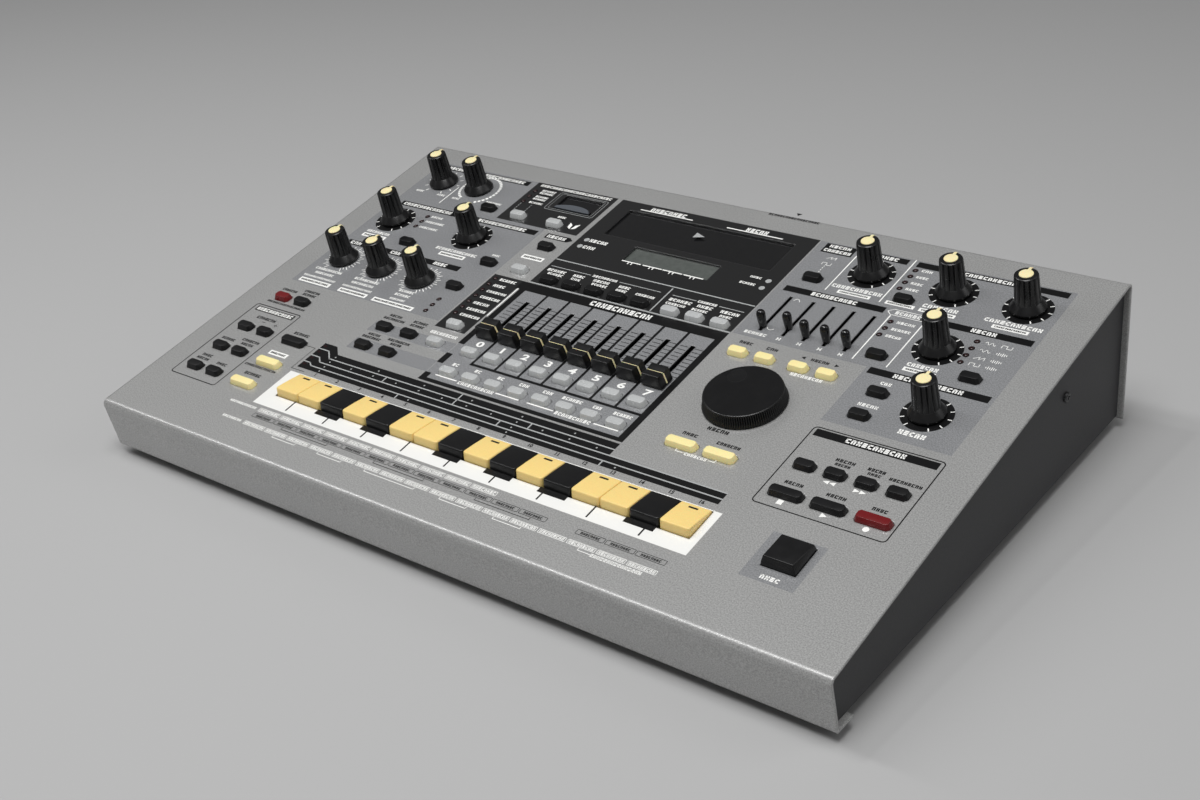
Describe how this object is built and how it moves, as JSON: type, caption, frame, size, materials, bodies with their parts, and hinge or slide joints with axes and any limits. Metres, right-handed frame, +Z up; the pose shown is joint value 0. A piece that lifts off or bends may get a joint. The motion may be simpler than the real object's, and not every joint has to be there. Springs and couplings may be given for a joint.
{
  "type": "drum machine",
  "caption": "Table-top drum machine: a bent steel case whose sloping panel carries knobs, faders, sliders, push buttons, note keys, a tap pad and a value dial.",
  "frame": {"origin": "on the table under the middle of the case", "axes": "+X to the player's right, +Y to the rear, +Z up"},
  "size_m": [0.463, 0.2862, 0.0991],
  "materials": {
    "panel_paint": "silver-grey speckled paint",
    "case_paint": "dark textured paint",
    "foot_rubber": "matt",
    "screw_steel": "blackened steel",
    "board": "solder mask",
    "control_body": "moulded",
    "window": "smoked",
    "socket_plastic": "moulded",
    "black_plastic": "satin",
    "gloss_black": "gloss",
    "cream_plastic": "satin",
    "cream_cap": "satin",
    "red_plastic": "satin",
    "clear_cap": "frosted"
  },
  "bodies": {
    "case": {"top_panel": "panel_paint", "bottom_chassis": "case_paint", "rubber_feet": "foot_rubber", "case_screws": "screw_steel", "control_board": "board", "panel_pots": "control_body", "display_windows": "window", "main_board": "board", "rear_sockets": "socket_plastic"},
    "knob_volume": {"knob_volume": "black_plastic"},
    "knob_low_boost": {"knob_low_boost": "black_plastic"},
    "knob_quantize": {"knob_quantize": "black_plastic"},
    "knob_accent": {"knob_accent": "black_plastic"},
    "knob_reverb": {"knob_reverb": "black_plastic"},
    "knob_delay": {"knob_delay": "black_plastic"},
    "knob_effect": {"knob_effect": "black_plastic"},
    "knob_pitch": {"knob_pitch": "black_plastic"},
    "knob_cutoff": {"knob_cutoff": "black_plastic"},
    "knob_resonance": {"knob_resonance": "black_plastic"},
    "knob_lfo_depth": {"knob_lfo_depth": "black_plastic"},
    "knob_glide_time": {"knob_glide_time": "black_plastic"},
    "value_dial": {"value_dial": "gloss_black"},
    "fader_1": {"fader_1": "black_plastic"},
    "fader_2": {"fader_2": "black_plastic"},
    "fader_3": {"fader_3": "black_plastic"},
    "fader_4": {"fader_4": "black_plastic"},
    "fader_5": {"fader_5": "black_plastic"},
    "fader_6": {"fader_6": "black_plastic"},
    "fader_7": {"fader_7": "black_plastic"},
    "fader_8": {"fader_8": "black_plastic"},
    "slider_depth": {"slider_depth": "black_plastic"},
    "slider_attack": {"slider_attack": "black_plastic"},
    "slider_decay": {"slider_decay": "black_plastic"},
    "slider_sustain": {"slider_sustain": "black_plastic"},
    "slider_release": {"slider_release": "black_plastic"},
    "key_01": {"key_01": "cream_plastic"},
    "key_02": {"key_02": "cream_plastic"},
    "key_03": {"key_03": "black_plastic"},
    "key_04": {"key_04": "cream_plastic"},
    "key_05": {"key_05": "black_plastic"},
    "key_06": {"key_06": "cream_plastic"},
    "key_07": {"key_07": "cream_plastic"},
    "key_08": {"key_08": "black_plastic"},
    "key_09": {"key_09": "cream_plastic"},
    "key_10": {"key_10": "black_plastic"},
    "key_11": {"key_11": "cream_plastic"},
    "key_12": {"key_12": "black_plastic"},
    "key_13": {"key_13": "cream_plastic"},
    "key_14": {"key_14": "cream_plastic"},
    "key_15": {"key_15": "black_plastic"},
    "key_16": {"key_16": "cream_plastic"},
    "tap_pad": {"tap_pad": "black_plastic"},
    "buttons_black_left": {"buttons_black_left": "black_plastic"},
    "buttons_black_right": {"buttons_black_right": "black_plastic"},
    "buttons_cream": {"buttons_cream": "cream_cap"},
    "buttons_red": {"buttons_red": "red_plastic"},
    "buttons_clear_lower": {"buttons_clear_lower": "clear_cap"},
    "buttons_clear_upper": {"buttons_clear_upper": "clear_cap"},
    "power_switch": {"power_switch": "black_plastic"}
  },
  "joints": [
    {"name": "knob_volume_turn", "type": "hinge", "parent": "case", "child": "knob_volume", "pos_m": [-0.1944, 0.10477, 0.07671], "axis": [0, -0.1671, 0.9859], "range_deg": [-150, 150]},
    {"name": "knob_low_boost_turn", "type": "hinge", "parent": "case", "child": "knob_low_boost", "pos_m": [-0.1659, 0.10556, 0.07684], "axis": [0, -0.1671, 0.9859], "range_deg": [-150, 150]},
    {"name": "knob_quantize_turn", "type": "hinge", "parent": "case", "child": "knob_quantize", "pos_m": [-0.1954, 0.06041, 0.06919], "axis": [0, -0.1671, 0.9859], "range_deg": [-150, 150]},
    {"name": "knob_accent_turn", "type": "hinge", "parent": "case", "child": "knob_accent", "pos_m": [-0.1332, 0.061, 0.06929], "axis": [0, -0.1671, 0.9859], "range_deg": [-150, 150]},
    {"name": "knob_reverb_turn", "type": "hinge", "parent": "case", "child": "knob_reverb", "pos_m": [-0.1958, 0.01545, 0.06157], "axis": [0, -0.1671, 0.9859], "range_deg": [-150, 150]},
    {"name": "knob_delay_turn", "type": "hinge", "parent": "case", "child": "knob_delay", "pos_m": [-0.1641, 0.01476, 0.06145], "axis": [0, -0.1671, 0.9859], "range_deg": [-150, 150]},
    {"name": "knob_effect_turn", "type": "hinge", "parent": "case", "child": "knob_effect", "pos_m": [-0.1326, 0.01456, 0.06142], "axis": [0, -0.1671, 0.9859], "range_deg": [-150, 150]},
    {"name": "knob_pitch_turn", "type": "hinge", "parent": "case", "child": "knob_pitch", "pos_m": [0.1082, 0.10546, 0.07682], "axis": [0, -0.1671, 0.9859], "range_deg": [-150, 150]},
    {"name": "knob_cutoff_turn", "type": "hinge", "parent": "case", "child": "knob_cutoff", "pos_m": [0.1552, 0.10497, 0.07674], "axis": [0, -0.1671, 0.9859], "range_deg": [-150, 150]},
    {"name": "knob_resonance_turn", "type": "hinge", "parent": "case", "child": "knob_resonance", "pos_m": [0.1951, 0.10477, 0.07671], "axis": [0, -0.1671, 0.9859], "range_deg": [-150, 150]},
    {"name": "knob_lfo_depth_turn", "type": "hinge", "parent": "case", "child": "knob_lfo_depth", "pos_m": [0.1698, 0.06041, 0.06919], "axis": [0, -0.1671, 0.9859], "range_deg": [-150, 150]},
    {"name": "knob_glide_time_turn", "type": "hinge", "parent": "case", "child": "knob_glide_time", "pos_m": [0.1884, 0.01535, 0.06155], "axis": [0, -0.1671, 0.9859], "range_deg": [-150, 150]},
    {"name": "value_dial_turn", "type": "hinge", "parent": "case", "child": "value_dial", "pos_m": [0.1046, -0.0089, 0.05744], "axis": [0, -0.1671, 0.9859], "continuous": true},
    {"name": "fader_1_slide", "type": "slide", "parent": "case", "child": "fader_1", "axis": [0, 0.9859, 0.1671], "range_m": [0, 0.03]},
    {"name": "fader_2_slide", "type": "slide", "parent": "case", "child": "fader_2", "axis": [0, 0.9859, 0.1671], "range_m": [0, 0.03]},
    {"name": "fader_3_slide", "type": "slide", "parent": "case", "child": "fader_3", "axis": [0, 0.9859, 0.1671], "range_m": [0, 0.03]},
    {"name": "fader_4_slide", "type": "slide", "parent": "case", "child": "fader_4", "axis": [0, 0.9859, 0.1671], "range_m": [0, 0.03]},
    {"name": "fader_5_slide", "type": "slide", "parent": "case", "child": "fader_5", "axis": [0, 0.9859, 0.1671], "range_m": [0, 0.03]},
    {"name": "fader_6_slide", "type": "slide", "parent": "case", "child": "fader_6", "axis": [0, 0.9859, 0.1671], "range_m": [0, 0.03]},
    {"name": "fader_7_slide", "type": "slide", "parent": "case", "child": "fader_7", "axis": [0, 0.9859, 0.1671], "range_m": [0, 0.03]},
    {"name": "fader_8_slide", "type": "slide", "parent": "case", "child": "fader_8", "axis": [0, 0.9859, 0.1671], "range_m": [0, 0.03]},
    {"name": "slider_depth_slide", "type": "slide", "parent": "case", "child": "slider_depth", "axis": [0, 0.9859, 0.1671], "range_m": [-0.001, 0.0256]},
    {"name": "slider_attack_slide", "type": "slide", "parent": "case", "child": "slider_attack", "axis": [0, 0.9859, 0.1671], "range_m": [-0.004, 0.0226]},
    {"name": "slider_decay_slide", "type": "slide", "parent": "case", "child": "slider_decay", "axis": [0, 0.9859, 0.1671], "range_m": [-0.001, 0.0256]},
    {"name": "slider_sustain_slide", "type": "slide", "parent": "case", "child": "slider_sustain", "axis": [0, 0.9859, 0.1671], "range_m": [-0.001, 0.0256]},
    {"name": "slider_release_slide", "type": "slide", "parent": "case", "child": "slider_release", "axis": [0, 0.9859, 0.1671], "range_m": [-0.001, 0.0256]},
    {"name": "key_01_press", "type": "hinge", "parent": "case", "child": "key_01", "pos_m": [-0.1271, -0.07995, 0.04276], "axis": [1, 0, 0], "range_deg": [0, 3.5], "stiffness_Nm_per_rad": 0.12, "springref_deg": -1.15},
    {"name": "key_02_press", "type": "hinge", "parent": "case", "child": "key_02", "pos_m": [-0.11026, -0.07995, 0.04276], "axis": [1, 0, 0], "range_deg": [0, 3.5], "stiffness_Nm_per_rad": 0.12, "springref_deg": -1.15},
    {"name": "key_03_press", "type": "hinge", "parent": "case", "child": "key_03", "pos_m": [-0.09342, -0.07995, 0.04276], "axis": [1, 0, 0], "range_deg": [0, 3.5], "stiffness_Nm_per_rad": 0.12, "springref_deg": -1.15},
    {"name": "key_04_press", "type": "hinge", "parent": "case", "child": "key_04", "pos_m": [-0.07658, -0.07995, 0.04276], "axis": [1, 0, 0], "range_deg": [0, 3.5], "stiffness_Nm_per_rad": 0.12, "springref_deg": -1.15},
    {"name": "key_05_press", "type": "hinge", "parent": "case", "child": "key_05", "pos_m": [-0.05974, -0.07995, 0.04276], "axis": [1, 0, 0], "range_deg": [0, 3.5], "stiffness_Nm_per_rad": 0.12, "springref_deg": -1.15},
    {"name": "key_06_press", "type": "hinge", "parent": "case", "child": "key_06", "pos_m": [-0.0429, -0.07995, 0.04276], "axis": [1, 0, 0], "range_deg": [0, 3.5], "stiffness_Nm_per_rad": 0.12, "springref_deg": -1.15},
    {"name": "key_07_press", "type": "hinge", "parent": "case", "child": "key_07", "pos_m": [-0.02606, -0.07995, 0.04276], "axis": [1, 0, 0], "range_deg": [0, 3.5], "stiffness_Nm_per_rad": 0.12, "springref_deg": -1.15},
    {"name": "key_08_press", "type": "hinge", "parent": "case", "child": "key_08", "pos_m": [-0.00922, -0.07995, 0.04276], "axis": [1, 0, 0], "range_deg": [0, 3.5], "stiffness_Nm_per_rad": 0.12, "springref_deg": -1.15},
    {"name": "key_09_press", "type": "hinge", "parent": "case", "child": "key_09", "pos_m": [0.00762, -0.07995, 0.04276], "axis": [1, 0, 0], "range_deg": [0, 3.5], "stiffness_Nm_per_rad": 0.12, "springref_deg": -1.15},
    {"name": "key_10_press", "type": "hinge", "parent": "case", "child": "key_10", "pos_m": [0.02446, -0.07995, 0.04276], "axis": [1, 0, 0], "range_deg": [0, 3.5], "stiffness_Nm_per_rad": 0.12, "springref_deg": -1.15},
    {"name": "key_11_press", "type": "hinge", "parent": "case", "child": "key_11", "pos_m": [0.0413, -0.07995, 0.04276], "axis": [1, 0, 0], "range_deg": [0, 3.5], "stiffness_Nm_per_rad": 0.12, "springref_deg": -1.15},
    {"name": "key_12_press", "type": "hinge", "parent": "case", "child": "key_12", "pos_m": [0.05814, -0.07995, 0.04276], "axis": [1, 0, 0], "range_deg": [0, 3.5], "stiffness_Nm_per_rad": 0.12, "springref_deg": -1.15},
    {"name": "key_13_press", "type": "hinge", "parent": "case", "child": "key_13", "pos_m": [0.07498, -0.07995, 0.04276], "axis": [1, 0, 0], "range_deg": [0, 3.5], "stiffness_Nm_per_rad": 0.12, "springref_deg": -1.15},
    {"name": "key_14_press", "type": "hinge", "parent": "case", "child": "key_14", "pos_m": [0.09182, -0.07995, 0.04276], "axis": [1, 0, 0], "range_deg": [0, 3.5], "stiffness_Nm_per_rad": 0.12, "springref_deg": -1.15},
    {"name": "key_15_press", "type": "hinge", "parent": "case", "child": "key_15", "pos_m": [0.10866, -0.07995, 0.04276], "axis": [1, 0, 0], "range_deg": [0, 3.5], "stiffness_Nm_per_rad": 0.12, "springref_deg": -1.15},
    {"name": "key_16_press", "type": "hinge", "parent": "case", "child": "key_16", "pos_m": [0.1255, -0.07995, 0.04276], "axis": [1, 0, 0], "range_deg": [0, 3.5], "stiffness_Nm_per_rad": 0.12, "springref_deg": -1.15},
    {"name": "tap_pad_press", "type": "slide", "parent": "case", "child": "tap_pad", "axis": [0, 0.1671, -0.9859], "range_m": [0, 0.0012], "stiffness_N_per_m": 800, "springref_m": -0.0005},
    {"name": "buttons_black_left_press", "type": "slide", "parent": "case", "child": "buttons_black_left", "axis": [0, 0.1671, -0.9859], "range_m": [0, 0.0007], "stiffness_N_per_m": 1400, "springref_m": -0.0005},
    {"name": "buttons_black_right_press", "type": "slide", "parent": "case", "child": "buttons_black_right", "axis": [0, 0.1671, -0.9859], "range_m": [0, 0.0007], "stiffness_N_per_m": 1400, "springref_m": -0.0005},
    {"name": "buttons_cream_press", "type": "slide", "parent": "case", "child": "buttons_cream", "axis": [0, 0.1671, -0.9859], "range_m": [0, 0.0007], "stiffness_N_per_m": 1400, "springref_m": -0.0005},
    {"name": "buttons_red_press", "type": "slide", "parent": "case", "child": "buttons_red", "axis": [0, 0.1671, -0.9859], "range_m": [0, 0.0007], "stiffness_N_per_m": 1400, "springref_m": -0.0005},
    {"name": "buttons_clear_lower_press", "type": "slide", "parent": "case", "child": "buttons_clear_lower", "axis": [0, 0.1671, -0.9859], "range_m": [0, 0.0007], "stiffness_N_per_m": 1400, "springref_m": -0.0005},
    {"name": "buttons_clear_upper_press", "type": "slide", "parent": "case", "child": "buttons_clear_upper", "axis": [0, 0.1671, -0.9859], "range_m": [0, 0.0007], "stiffness_N_per_m": 1400, "springref_m": -0.0005},
    {"name": "power_switch_rock", "type": "hinge", "parent": "case", "child": "power_switch", "pos_m": [-0.142, 0.1391, 0.034], "axis": [1, 0, 0], "range_deg": [0, 10]}
  ]
}
